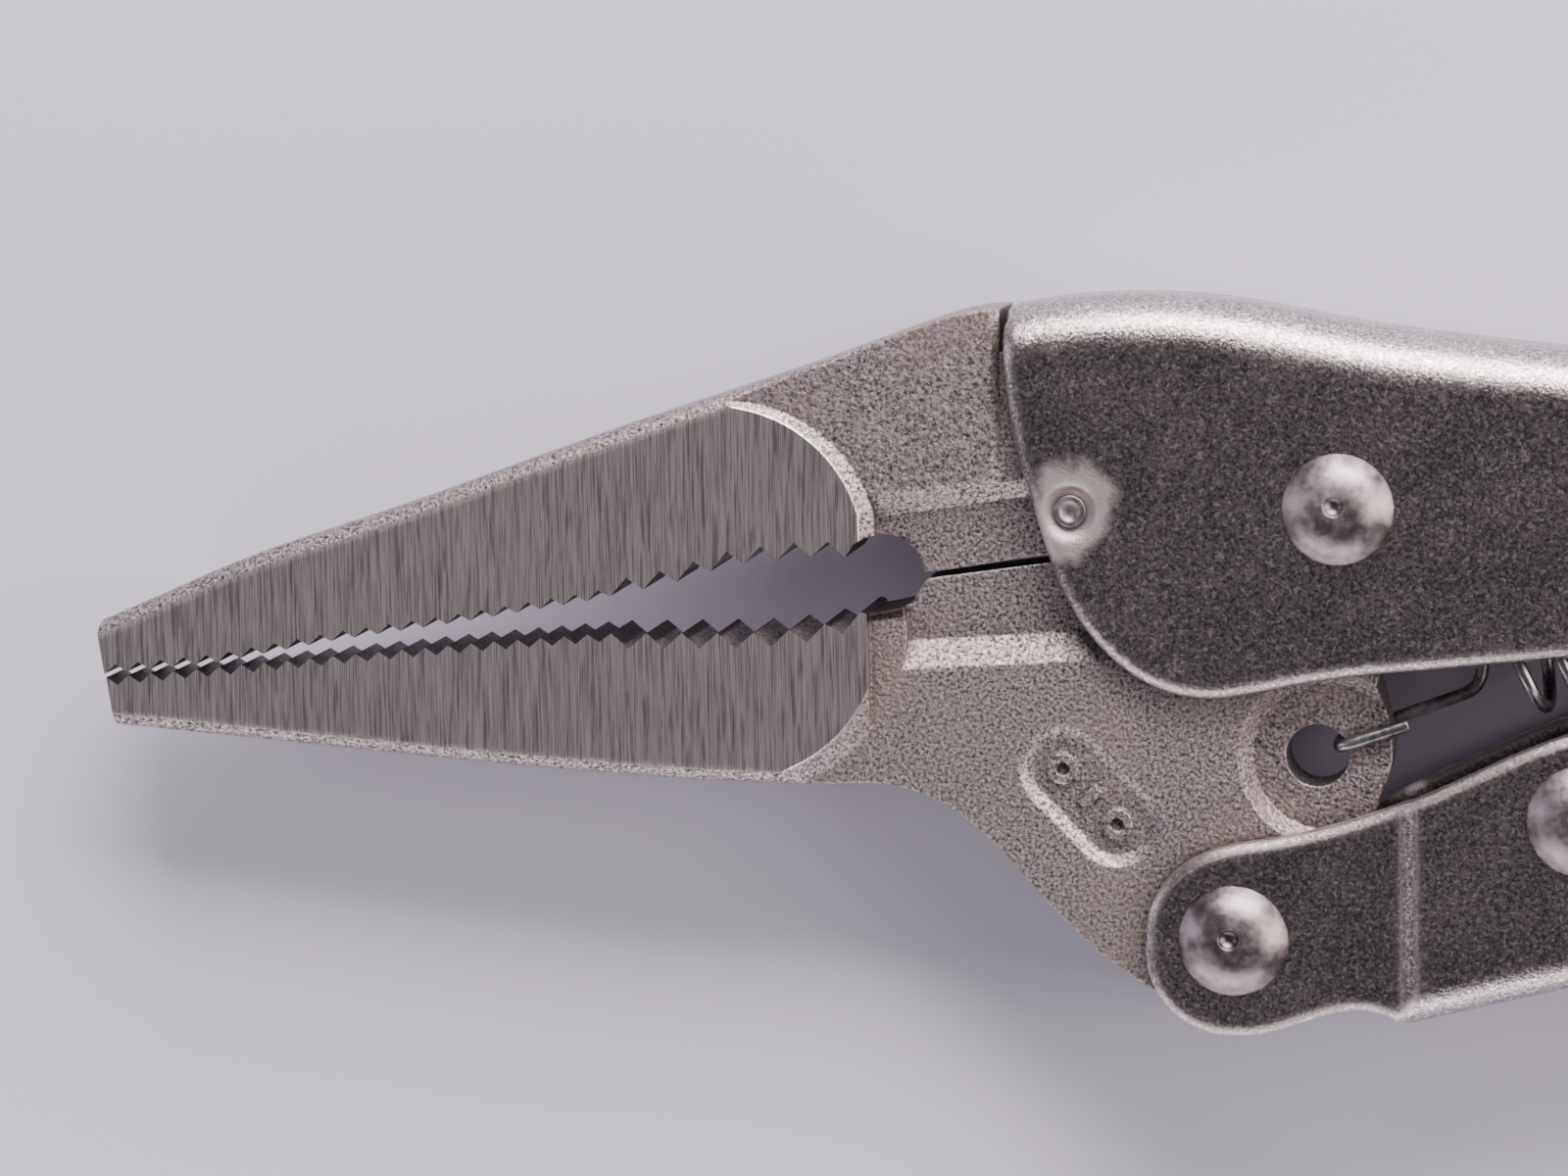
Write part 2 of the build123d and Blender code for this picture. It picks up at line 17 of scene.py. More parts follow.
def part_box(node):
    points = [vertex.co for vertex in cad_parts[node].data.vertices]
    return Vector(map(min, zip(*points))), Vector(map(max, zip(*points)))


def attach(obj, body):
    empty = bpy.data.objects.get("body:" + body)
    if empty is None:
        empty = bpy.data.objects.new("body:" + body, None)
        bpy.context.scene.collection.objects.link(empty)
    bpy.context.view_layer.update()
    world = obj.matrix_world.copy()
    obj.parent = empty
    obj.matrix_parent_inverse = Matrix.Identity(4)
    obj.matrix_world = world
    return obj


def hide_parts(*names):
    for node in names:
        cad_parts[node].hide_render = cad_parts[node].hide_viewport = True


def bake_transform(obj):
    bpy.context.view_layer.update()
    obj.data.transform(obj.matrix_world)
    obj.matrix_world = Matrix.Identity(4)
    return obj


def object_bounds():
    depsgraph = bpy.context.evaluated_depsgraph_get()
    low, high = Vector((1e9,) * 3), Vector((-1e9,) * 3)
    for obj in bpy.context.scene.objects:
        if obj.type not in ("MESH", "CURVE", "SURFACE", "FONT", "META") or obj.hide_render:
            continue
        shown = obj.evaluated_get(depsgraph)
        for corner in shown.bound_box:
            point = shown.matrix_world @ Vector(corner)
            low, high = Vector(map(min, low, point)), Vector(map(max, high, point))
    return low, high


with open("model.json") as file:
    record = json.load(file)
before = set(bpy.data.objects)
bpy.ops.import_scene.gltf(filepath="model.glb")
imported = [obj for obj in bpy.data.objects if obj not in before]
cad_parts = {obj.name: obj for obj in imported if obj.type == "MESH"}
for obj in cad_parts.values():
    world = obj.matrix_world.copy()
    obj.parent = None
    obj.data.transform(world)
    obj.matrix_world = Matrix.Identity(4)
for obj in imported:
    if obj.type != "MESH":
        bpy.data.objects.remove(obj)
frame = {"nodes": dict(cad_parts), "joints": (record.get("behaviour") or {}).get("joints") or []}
cad_box = [list(corner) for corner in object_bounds()]
nodes = frame["nodes"]
joints = {joint["name"]: joint for joint in frame["joints"]}
MM = 0.001
print("pieces", len(nodes), "box", cad_box)

# %% [markdown]
# ## Where things are
# Every pattern and every new piece is placed from the joints and boxes of the frame. The main
# rivet is the natural reference point of a pair of pliers, so it is used for all of them.

# %% Reference points
pivot = Vector(joints["jaw_pivot"]["pos_m"])
screw_origin = Vector(joints["knob_turn"]["pos_m"])
screw_axis = Vector(joints["knob_turn"]["axis"]).normalized()
pin_low, pin_high = (Vector(corner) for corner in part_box("jaw_stake_pin"))
stake = (pin_low + pin_high) / 2
print("main pivot", tuple(round(v / MM, 2) for v in pivot), "screw axis", tuple(screw_axis))

# %% [markdown]
# ## Camera, floor and light
# Bright metal shows little of its own: what the eye reads is the room mirrored in it. A tool
# lying flat mirrors the dim space above it in its flats, and the bright cards beside it in every
# slope and bend. So one large soft lamp stands on the far side, weaker cards stand right, near and
# left, and the space overhead stays dim. The camera looks almost straight down from a little
# behind the main rivet, with a long lens, as for a close view of the jaws.

# %% Camera
camera_data = bpy.data.cameras.new("camera")
camera_data.sensor_width = 36
camera_data.lens = 127.7
camera_data.clip_end = 10
camera = bpy.data.objects.new("camera", camera_data)
bpy.context.scene.collection.objects.link(camera)
bpy.context.scene.camera = camera
right = Vector((0.9849, -0.0184, -0.1726))
up = Vector((-0.00245, 0.9929, -0.1199))
back = Vector((0.1736, 0.1185, 0.9777))
turn = Matrix((right, up, back)).transposed().to_4x4()
place = pivot + Vector((24.95, 35.10, 333.57)) * MM
camera.matrix_world = Matrix.Translation(place) @ turn
print("camera at", tuple(round(v, 4) for v in place))


# %% [markdown]
# ## Two helpers for materials
# Colours are written as sRGB hex codes and turned to linear light by one function. A material is a
# tree of nodes, and one small function adds a node, sets it up and links it, so each finish below
# reads as a list of what goes into it.

# %% Colour and node helpers
def linear(code):
    """Linear colour from an sRGB hex code."""
    parts = [int(code[i:i + 2], 16) / 255 for i in (1, 3, 5)]
    return [v / 12.92 if v <= 0.04045 else ((v + 0.055) / 1.055) ** 2.4 for v in parts] + [1.0]


def live(sockets, name=None):
    """First socket in use, of one name if that is given."""
    return next(s for s in sockets if s.enabled and name in (None, s.name))


def add(tree, kind, inputs, **settings):
    """Add a node, set its settings, then fill its inputs by name or number, or link nodes to them."""
    node = tree.nodes.new(kind)
    for name, value in settings.items():
        setattr(node, name, value)
    for key, value in inputs.items():
        socket = node.inputs[key] if isinstance(key, int) else live(node.inputs, key)
        source = live(value.outputs) if isinstance(value, bpy.types.Node) else value
        if isinstance(source, bpy.types.NodeSocket):
            tree.links.new(source, socket)
        else:
            socket.default_value = source
    return node


print("white in linear light", linear("#ffffff"))


# %% [markdown]
# ## The lamps and the dim space above
# Four soft rectangles stand round the tool. The far one is the brightest, and draws the long light
# line on the rounded back of the handle and on every slope that leans away. The others are weak
# cards that keep the near sides from going black. The world is a dim, slightly warm grey.

# %% Lamps
def lamp(name, place, aim, size, power, tint):
    """Soft rectangular lamp that looks from one point, relative to the main rivet, to another."""
    data = bpy.data.lights.new(name, "AREA")
    data.shape = "RECTANGLE"
    data.size, data.size_y = size
    data.energy = power
    data.color = linear(tint)[:3]
    thing = bpy.data.objects.new(name, data)
    bpy.context.scene.collection.objects.link(thing)
    here, there = pivot + Vector(place), pivot + Vector(aim)
    thing.location = here
    thing.rotation_euler = (there - here).to_track_quat("-Z", "Y").to_euler()


lamp("far_softbox", (0.10, 0.46, 0.26), (-0.02, 0, 0), (0.5, 0.26), 8.5, "#fff4f2")
lamp("near_card", (-0.10, -0.46, 0.14), (0, 0, 0), (0.8, 0.22), 2.4, "#fbf2f4")
lamp("right_card", (0.46, 0.02, 0.20), (0, 0, 0), (0.3, 0.4), 2.6, "#fff0ee")
lamp("left_card", (-0.52, 0.05, 0.10), (-0.03, 0, 0), (0.16, 0.5), 0.7, "#f2eefc")

world = bpy.data.worlds.new("studio")
bpy.context.scene.world = world
world.use_nodes = True
world.node_tree.nodes["Background"].inputs["Color"].default_value = linear("#aca4ac")
world.node_tree.nodes["Background"].inputs["Strength"].default_value = 0.26
print("lamps", len(bpy.data.lights))

# %% [markdown]
# ## A plain floor
# A pale matt floor lies a hair under the tool and takes its soft shadow.

# %% Floor
floor_mesh = bmesh.new()
bmesh.ops.create_grid(floor_mesh, x_segments=8, y_segments=8, size=1.5)
bmesh.ops.translate(floor_mesh, verts=floor_mesh.verts, vec=(0, 0, cad_box[0][2] - 0.2 * MM))
floor_data = bpy.data.meshes.new("floor")
floor_mesh.to_mesh(floor_data)
floor_mesh.free()
floor = bpy.data.objects.new("floor", floor_data)
bpy.context.scene.collection.objects.link(floor)
paint = bpy.data.materials.new("matt_floor_paint")
paint.use_nodes = True
paint.node_tree.nodes["Principled BSDF"].inputs["Base Color"].default_value = linear("#d6d5e6")
paint.node_tree.nodes["Principled BSDF"].inputs["Roughness"].default_value = 0.6
floor_data.materials.append(paint)
print("floor below z", round(cad_box[0][2], 4))

# %% [markdown]
# ## Nickel plate over steel
# All the metal starts alike: steel with a thin bright coat of nickel, a slightly warm grey. What
# differs is the surface under the coat, because the plate copies it. One function sets up the
# shader and the two things that every finish needs: its object coordinates, and normals that turn
# softly over each edge, because no real edge is perfectly sharp.


# %% The common metal
def metal(name, edge):
    """Material, its nodes, its shader, object coordinates and normals rounded over edge mm."""
    material = bpy.data.materials.new(name)
    material.use_nodes = True
    tree = material.node_tree
    shader = tree.nodes["Principled BSDF"]
    shader.inputs["Metallic"].default_value = 1.0
    place = add(tree, "ShaderNodeTexCoord", {}).outputs["Object"]
    soft = add(tree, "ShaderNodeBevel", {"Radius": edge * MM}, samples=6)
    return material, tree, shader, place, soft


print("common metal ready")

# %% [markdown]
# ## The forged jaws
# A jaw is drop forged, blasted with grit, plated, and then the two long faces of its nose are
# ground. So it carries two finishes. Blasting leaves pits of about a quarter of a millimetre that
# sparkle. Grinding leaves crosswise lines less than a tenth of a millimetre apart, with a few deeper
# scores. The ground faces are found by where they are: they thin evenly from the rear of the nose
# to its tip, so a point belongs to them when it lies within a few hundredths of that taper. Their
# edges stay sharp from the wheel. The teeth face each other in the narrow gap between the jaws and
# are painted nearly black, partly for oil and dust and partly as painted shade.

# %% Forged jaws: where each finish lies
TIP_HALF, NOSE_HALF, NOSE_LENGTH = 2.0, 4.0, 49.5
forged, tree, shader, place, soft = metal("forged_nickel_plate_ground_nose", 0.22)
spot = add(tree, "ShaderNodeVectorMath", {0: place, 1: pivot}, operation="SUBTRACT")
axes = add(tree, "ShaderNodeSeparateXYZ", {"Vector": spot})
height = add(tree, "ShaderNodeMath", {0: axes.outputs["Z"]}, operation="ABSOLUTE")
face = add(tree, "ShaderNodeMapRange", {
    "Value": axes.outputs["X"], "From Min": cad_box[0][0] - pivot.x,
    "From Max": cad_box[0][0] - pivot.x + NOSE_LENGTH * MM,
    "To Min": TIP_HALF * MM, "To Max": NOSE_HALF * MM}, clamp=False)
proud = add(tree, "ShaderNodeMath", {0: height, 1: face}, operation="SUBTRACT")
level = add(tree, "ShaderNodeMapRange", {
    "Value": proud, "From Min": -0.08 * MM, "From Max": -0.03 * MM})
front = add(tree, "ShaderNodeMapRange", {
    "Value": axes.outputs["X"], "From Min": -26.5 * MM, "From Max": -26.0 * MM,
    "To Min": 1.0, "To Max": 0.0})
ground = add(tree, "ShaderNodeMath", {0: level, 1: front}, operation="MULTIPLY")

# Throat mask: a band along the jaws' middle line, where the teeth face each other in the narrow gap.
# Below it is painted nearly black, partly for oil and dust and partly as painted shade.
middle = add(tree, "ShaderNodeMapRange", {
    "Value": axes.outputs["X"], "From Min": -77 * MM, "From Max": -29 * MM,
    "To Min": -10.7 * MM, "To Max": -4.65 * MM}, clamp=False)
offset = add(tree, "ShaderNodeMath", {0: axes.outputs["Y"], 1: middle}, operation="SUBTRACT")
offset = add(tree, "ShaderNodeMath", {0: offset}, operation="ABSOLUTE")
width = add(tree, "ShaderNodeMapRange", {
    "Value": axes.outputs["X"], "From Min": -77 * MM, "From Max": -29 * MM,
    "To Min": 0.9 * MM, "To Max": 2.5 * MM})
inside = add(tree, "ShaderNodeMath", {0: width, 1: offset}, operation="SUBTRACT")
throat_dirt_and_shade = add(tree, "ShaderNodeMapRange", {
    "Value": inside, "From Min": 0.0, "From Max": 0.15 * MM, "To Max": 0.9})
throat_dirt_and_shade = add(tree, "ShaderNodeMath", {0: throat_dirt_and_shade, 1: front}, operation="MULTIPLY")
bare = add(tree, "ShaderNodeMath", {0: 1.0, 1: ground}, operation="SUBTRACT")
throat_dirt_and_shade = add(tree, "ShaderNodeMath", {0: throat_dirt_and_shade, 1: bare}, operation="MULTIPLY")
print("nose faces thin from", NOSE_HALF, "to", TIP_HALF, "mm")

# %% [markdown]
# ## Grit and grinding lines
# Noise stands for the grit that hit the forging, with small cells for its deepest pits. The same
# kind of noise, stretched along one direction, gives the lines that a grinding belt leaves.

# %% Forged jaws: blasted grain and ground lines
GRIT, PIT, LINE, SCORE = 0.22, 0.30, 0.08, 0.22
grit = add(tree, "ShaderNodeTexNoise", {
    "Vector": place, "Scale": 1 / (GRIT * MM), "Detail": 4.0, "Roughness": 0.75})
pits = add(tree, "ShaderNodeTexVoronoi", {"Vector": place, "Scale": 1 / (PIT * MM)})
patches = add(tree, "ShaderNodeTexNoise", {"Vector": place, "Scale": 1 / (6 * MM), "Detail": 3.0})
along = add(tree, "ShaderNodeMapping", {
    "Vector": place, "Rotation": (0, 0, radians(-4)), "Scale": (1, 0.016, 1)})
lines = add(tree, "ShaderNodeTexNoise", {
    "Vector": along, "Scale": 1 / (LINE * MM), "Detail": 3.0, "Roughness": 0.7})
waver = add(tree, "ShaderNodeMapping", {
    "Vector": place, "Rotation": (0, 0, radians(-7)), "Scale": (1, 0.06, 1)})
scores = add(tree, "ShaderNodeTexNoise", {
    "Vector": waver, "Scale": 1 / (SCORE * MM), "Detail": 1.0})
print("grit", GRIT, "mm, lines", LINE, "mm apart")

# %% [markdown]
# ## The colour of the forging
# Pits hold a little dirt, so they are darker than the crests between them. Wide patches are a
# touch warmer. The inner corners are painted brown-black, partly for dirt where no cloth reaches
# and partly as painted shade.

# %% Forged jaws: colour
# Painted shade, with some dirt: inner corners within 1.5 mm go brown-black.
corner = add(tree, "ShaderNodeAmbientOcclusion", {"Distance": 1.5 * MM}, samples=8)
shade = add(tree, "ShaderNodeMapRange", {
    "Value": corner.outputs["AO"], "From Min": 0.3, "From Max": 0.85, "To Min": 0.75, "To Max": 0.0})
grain_tone = add(tree, "ShaderNodeMapRange", {"Value": grit, "From Min": 0.39, "From Max": 0.63})
blasted = add(tree, "ShaderNodeMix", {
    "Factor": grain_tone, "A": linear("#3f393b"), "B": linear("#d2c8c7")}, data_type="RGBA")
warmth = add(tree, "ShaderNodeMapRange", {
    "Value": patches, "From Min": 0.48, "From Max": 0.68, "To Max": 0.25})
blasted = add(tree, "ShaderNodeMix", {
    "Factor": warmth, "A": blasted, "B": linear("#b3a196")}, data_type="RGBA")
line_tone = add(tree, "ShaderNodeMapRange", {"Value": lines, "From Min": 0.36, "From Max": 0.66})
score_tone = add(tree, "ShaderNodeMapRange", {
    "Value": scores, "From Min": 0.58, "From Max": 0.70, "To Max": 0.55})
brushed = add(tree, "ShaderNodeMix", {
    "Factor": line_tone, "A": linear("#7d7576"), "B": linear("#fff8f6")}, data_type="RGBA")
brushed = add(tree, "ShaderNodeMix", {
    "Factor": score_tone, "A": brushed, "B": linear("#676061")}, data_type="RGBA")
colour = add(tree, "ShaderNodeMix", {"Factor": ground, "A": blasted, "B": brushed}, data_type="RGBA")
colour = add(tree, "ShaderNodeMix", {
    "Factor": shade, "A": colour, "B": linear("#3b3230")}, data_type="RGBA")
# Teeth in the throat go nearly black: partly oil and dust, partly painted shade.
colour = add(tree, "ShaderNodeMix", {
    "Factor": throat_dirt_and_shade, "A": colour, "B": linear("#2a2120")}, data_type="RGBA")
tree.links.new(live(colour.outputs), shader.inputs["Base Color"])
print("material", forged.name)

# %% [markdown]
# ## The gloss and relief of the forging
# Crests are burnished, pits are dull. The relief is a few hundredths of a millimetre deep.

# %% Forged jaws: roughness and relief
GRIT_RELIEF, PIT_RELIEF, LINE_RELIEF = 0.06, 0.03, 0.016
rough_blast = add(tree, "ShaderNodeMapRange", {
    "Value": grit, "From Min": 0.35, "From Max": 0.65, "To Min": 0.58, "To Max": 0.38})
rough_lines = add(tree, "ShaderNodeMapRange", {
    "Value": lines, "From Min": 0.3, "From Max": 0.7, "To Min": 0.48, "To Max": 0.34})
rough = add(tree, "ShaderNodeMix", {"Factor": ground, "A": rough_blast, "B": rough_lines})
tree.links.new(live(rough.outputs), shader.inputs["Roughness"])
pitted = add(tree, "ShaderNodeBump", {
    "Height": pits.outputs["Distance"], "Distance": PIT_RELIEF * MM, "Normal": soft})
grained = add(tree, "ShaderNodeBump", {"Height": grit, "Distance": GRIT_RELIEF * MM, "Normal": pitted})
combed = add(tree, "ShaderNodeBump", {"Height": lines, "Distance": LINE_RELIEF * MM})
normal = add(tree, "ShaderNodeMix", {
    "Factor": ground, "A": grained, "B": combed}, data_type="VECTOR")
tree.links.new(live(normal.outputs), shader.inputs["Normal"])
print("relief", GRIT_RELIEF, "mm on the grit,", LINE_RELIEF, "mm on the lines")

# %% [markdown]
# ## The pressed handles
# The handles are blanked from cold-rolled sheet and folded into channels, so the plate on their
# flats is close to a mirror, and looks dark under a dim ceiling. It is peppered with pits of a
# tenth to a fifth of a millimetre, and with painted glints, near-white specks that stand for light
# caught in the pits. A small zone where the punch struck round the staked pin is rubbed to a paler
# satin in the plating barrel. The folds and rolled rims are satin too, and are painted paler: a
# painted highlight for the light that their curve catches. Corners are painted darker, partly for
# dirt and partly as painted shade.

# %% Pressed handles
SPECK, STAR, CLOUD, SPECK_RELIEF, WAVE = 0.20, 0.26, 4.5, 0.035, 0.025
pressed, tree, shader, place, soft = metal("pressed_sheet_nickel_plate", 1.0)
specks = add(tree, "ShaderNodeTexNoise", {
    "Vector": place, "Scale": 1 / (SPECK * MM), "Detail": 3.0, "Roughness": 0.65})
stars = add(tree, "ShaderNodeTexNoise", {"Vector": place, "Scale": 1 / (STAR * MM), "Detail": 1.0})
clouds = add(tree, "ShaderNodeTexNoise", {
    "Vector": place, "Scale": 1 / (CLOUD * MM), "Detail": 4.0, "Roughness": 0.6})
beside = add(tree, "ShaderNodeVectorMath", {0: place, 1: stake}, operation="SUBTRACT")
beside = add(tree, "ShaderNodeVectorMath", {0: beside, 1: (1, 1, 0)}, operation="MULTIPLY")
reach = add(tree, "ShaderNodeVectorMath", {0: beside}, operation="LENGTH")
ragged = add(tree, "ShaderNodeMapRange", {
    "Value": clouds, "From Min": 0.3, "From Max": 0.7, "To Min": -0.9 * MM, "To Max": 0.9 * MM})
reach = add(tree, "ShaderNodeMath", {0: reach.outputs["Value"], 1: ragged}, operation="ADD")
struck = add(tree, "ShaderNodeMapRange", {
    "Value": reach, "From Min": 2.2 * MM, "From Max": 3.2 * MM, "To Min": 1.0, "To Max": 0.0})
shape = add(tree, "ShaderNodeNewGeometry", {})
bend = add(tree, "ShaderNodeVectorMath", {0: soft, 1: shape.outputs["Normal"]},
           operation="DOT_PRODUCT")
# Rim mask: where the softened normal turns away from the true one, on folds and rims. It drives a
# painted highlight below.
rim = add(tree, "ShaderNodeMapRange", {
    "Value": bend.outputs["Value"], "From Min": 0.90, "From Max": 0.999, "To Min": 1.0,
    "To Max": 0.0})
# The struck zone is real wear; the rim part of this mask is a painted highlight on the curved edges.
struck_wear_and_rim_highlight = add(tree, "ShaderNodeMath", {0: rim, 1: struck}, operation="MAXIMUM")
base = add(tree, "ShaderNodeMapRange", {"Value": specks, "From Min": 0.36, "From Max": 0.66})
colour = add(tree, "ShaderNodeMix", {
    "Factor": base, "A": linear("#6f6768"), "B": linear("#d6cdcc")}, data_type="RGBA")
hazy = add(tree, "ShaderNodeMapRange", {
    "Value": clouds, "From Min": 0.45, "From Max": 0.70, "To Max": 0.12})
colour = add(tree, "ShaderNodeMix", {
    "Factor": hazy, "A": colour, "B": linear("#c3babb")}, data_type="RGBA")
# Painted glints: rare near-white specks that stand for light caught in the pits.
painted_glints = add(tree, "ShaderNodeMapRange", {
    "Value": stars, "From Min": 0.60, "From Max": 0.68, "To Max": 0.95})
colour = add(tree, "ShaderNodeMix", {
    "Factor": painted_glints, "A": colour, "B": linear("#efe8e8")}, data_type="RGBA")
# Paler colour: wear on the struck zone, painted highlight on the rims.
colour = add(tree, "ShaderNodeMix", {
    "Factor": struck_wear_and_rim_highlight, "A": colour, "B": linear("#e4dad9")}, data_type="RGBA")
# Painted shade, with some dirt: corners within a millimetre go towards near black.
corner = add(tree, "ShaderNodeAmbientOcclusion", {"Distance": 1.0 * MM}, samples=8)
shade = add(tree, "ShaderNodeMapRange", {
    "Value": corner.outputs["AO"], "From Min": 0.3, "From Max": 0.85, "To Min": 0.8, "To Max": 0.0})
colour = add(tree, "ShaderNodeMix", {
    "Factor": shade, "A": colour, "B": linear("#3b3333")}, data_type="RGBA")
tree.links.new(live(colour.outputs), shader.inputs["Base Color"])
print("material", pressed.name)

# %% [markdown]
# ## The gloss and relief of the sheet
# Rolled sheet is smooth, with a faint waviness, and only its worn folds and rims are satin.

# %% Pressed handles: roughness and relief
rough = add(tree, "ShaderNodeMapRange", {
    "Value": clouds, "From Min": 0.35, "From Max": 0.65, "To Min": 0.25, "To Max": 0.30})
satin = add(tree, "ShaderNodeMix", {"Factor": struck_wear_and_rim_highlight, "A": rough, "B": 0.45})
tree.links.new(live(satin.outputs), shader.inputs["Roughness"])
wavy = add(tree, "ShaderNodeBump", {"Height": clouds, "Distance": WAVE * MM, "Normal": soft})
peppered = add(tree, "ShaderNodeBump", {"Height": specks, "Distance": SPECK_RELIEF * MM, "Normal": wavy})
tree.links.new(live(peppered.outputs), shader.inputs["Normal"])
print("relief", SPECK_RELIEF, "mm on the specks")

# %% [markdown]
# ## Rivets, link, turned parts and wire
# The rivets are headed cold in a polished die, which leaves a smooth dome with faint clouds and a
# small dimple. The link is blanked from plate and plated dull. The screw and the knob are turned.
# The spring is drawn wire with a thin zinc coat. They share one recipe of two scales of mottle.


# %% Rivet, link, turned and wire finishes
def smooth_metal(name, dark, light, rough_low, rough_high, period, depth):
    """Smooth plated metal with a soft mottle of one period and depth in millimetres."""
    material, tree, shader, place, soft = metal(name, 0.15)
    fine = add(tree, "ShaderNodeTexNoise", {
        "Vector": place, "Scale": 1 / (period * MM), "Detail": 3.0})
    cloud = add(tree, "ShaderNodeTexNoise", {
        "Vector": place, "Scale": 1 / (period * 6 * MM), "Detail": 3.0})
    tone = add(tree, "ShaderNodeMix", {"Factor": 0.5, "A": fine, "B": cloud})
    spread = add(tree, "ShaderNodeMapRange", {"Value": tone, "From Min": 0.38, "From Max": 0.62})
    colour = add(tree, "ShaderNodeMix", {
        "Factor": spread, "A": linear(dark), "B": linear(light)}, data_type="RGBA")
    # Painted shade, with some dirt: corners within 0.6 mm go towards near black.
    corner = add(tree, "ShaderNodeAmbientOcclusion", {"Distance": 0.6 * MM}, samples=8)
    shade = add(tree, "ShaderNodeMapRange", {
        "Value": corner.outputs["AO"], "From Min": 0.35, "From Max": 0.95, "To Min": 0.85,
        "To Max": 0.0})
    colour = add(tree, "ShaderNodeMix", {
        "Factor": shade, "A": colour, "B": linear("#2e2827")}, data_type="RGBA")
    tree.links.new(live(colour.outputs), shader.inputs["Base Color"])
    rough = add(tree, "ShaderNodeMapRange", {
        "Value": tone, "From Min": 0.35, "From Max": 0.65, "To Min": rough_low,
        "To Max": rough_high})
    tree.links.new(live(rough.outputs), shader.inputs["Roughness"])
    relief = add(tree, "ShaderNodeBump", {"Height": tone, "Distance": depth * MM, "Normal": soft})
    tree.links.new(live(relief.outputs), shader.inputs["Normal"])
    return material


rivet_nickel = smooth_metal("polished_rivet_nickel", "#7b7375", "#aba2a4", 0.34, 0.50, 0.6, 0.04)
plate_nickel = smooth_metal("blanked_plate_dull_nickel", "#807879", "#aaa2a3", 0.32, 0.44, 0.3, 0.06)
turned_nickel = smooth_metal("turned_screw_nickel", "#9a9293", "#cdc5c5", 0.22, 0.34, 0.25, 0.03)
wire_zinc = smooth_metal("drawn_spring_wire_zinc_plate", "#7b7c7d", "#b9babd", 0.26, 0.38, 0.4, 0.03)
print("materials", len(bpy.data.materials))

# %% [markdown]
# ## Which piece wears which finish
# Each piece of the frame keeps its shape and gets one finish.

# %% Assign the finishes
finishes = {
    "fixed_handle": pressed, "moving_handle": pressed, "fixed_jaw": forged, "moving_jaw": forged,
    "toggle_link": plate_nickel, "release_lever": pressed, "jaw_stake_pin": rivet_nickel,
    "main_rivet": rivet_nickel, "jaw_rivet": rivet_nickel, "link_rivet": rivet_nickel,
    "lever_rivet": rivet_nickel, "tension_spring": wire_zinc, "adjusting_screw": turned_nickel,
    "thumb_knob": turned_nickel,
}
for name, finish in finishes.items():
    mesh = nodes[name].data
    mesh.materials.clear()
    mesh.materials.append(finish)
print("finished", len(finishes), "pieces")

# %% [markdown]
# ## The adjusting screw's thread
# A thread is one ridge wound round a rod. So the profile of a single ridge, one pitch long, is
# swept once round for each pitch while it moves along, and each turn joins the one before. The ends
# are then cut square. Along the screw, distances are counted from the centre of the link's nose.

# %% Screw helpers
screw_turn = screw_axis.to_track_quat("Z", "Y").to_matrix().to_4x4()
screw_place = Matrix.Translation(screw_origin) @ screw_turn


def finish_piece(name, mesh, material, body, replaced):
    """Object made from a mesh drawn along Z, laid along the screw and put in place of a node."""
    bmesh.ops.recalc_face_normals(mesh, faces=mesh.faces)
    bmesh.ops.transform(mesh, matrix=screw_place, verts=mesh.verts)
    data = bpy.data.meshes.new(name)
    mesh.to_mesh(data)
    mesh.free()
    data.materials.append(material)
    piece = bpy.data.objects.new(name, data)
    bpy.context.scene.collection.objects.link(piece)
    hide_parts(replaced)
    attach(piece, body)
    print(name, len(data.polygons), "faces")
    return piece


def wire_loop(mesh, points):
    """Chain of edges through points given as radius and distance along Z, in millimetres."""
    verts = [mesh.verts.new((r * MM, 0, z * MM)) for r, z in points]
    return verts + [mesh.edges.new(pair) for pair in zip(verts, verts[1:])]


# %% [markdown]
# ## Winding the thread
# The rod is 6 mm across with a pitch of 1 mm. The profile is a rounded ridge on a thinner core, as a
# rolled thread has.

# %% Threaded rod
PITCH, STEPS = 1.0, 48
low, high = 5.45, 21.95
turns = int(high - low) + 2
thread = bmesh.new()
ridge = wire_loop(thread, [(2.38, 0), (2.40, 0.12), (2.95, 0.44), (2.97, 0.50), (2.95, 0.56),
                           (2.40, 0.88), (2.38, 1.0)])
start = low - 1.5
bmesh.ops.translate(thread, verts=thread.verts, vec=(0, 0, start * MM))
bmesh.ops.spin(thread, geom=ridge, cent=(0, 0, 0), axis=(0, 0, 1), angle=tau * turns,
               steps=STEPS * turns, dvec=(0, 0, PITCH * MM / STEPS))
bmesh.ops.remove_doubles(thread, verts=thread.verts, dist=0.004 * MM)
for level, side in ((low, -1), (high, 1)):
    everything = thread.verts[:] + thread.edges[:] + thread.faces[:]
    bmesh.ops.bisect_plane(thread, geom=everything, plane_co=(0, 0, level * MM),
                           plane_no=(0, 0, side), clear_outer=True)
    rim = [edge for edge in thread.edges if edge.is_boundary
           and all(abs(v.co.z - level * MM) < 0.001 * MM for v in edge.verts)]
    bmesh.ops.edgeloop_fill(thread, edges=rim)
print("open edges", sum(edge.is_boundary for edge in thread.edges))
finish_piece("threaded_rod", thread, turned_nickel, "adjusting_screw", "adjusting_screw")

# %% [markdown]
# ## The knurled knob
# Knurling is rolled into the knob by two wheels whose ridges cross, which leaves rows of small
# pyramids. The knob is turned first, as a profile spun round its axis, and then each point of its
# grip is pressed in by how near it lies to a valley of either set of ridges.

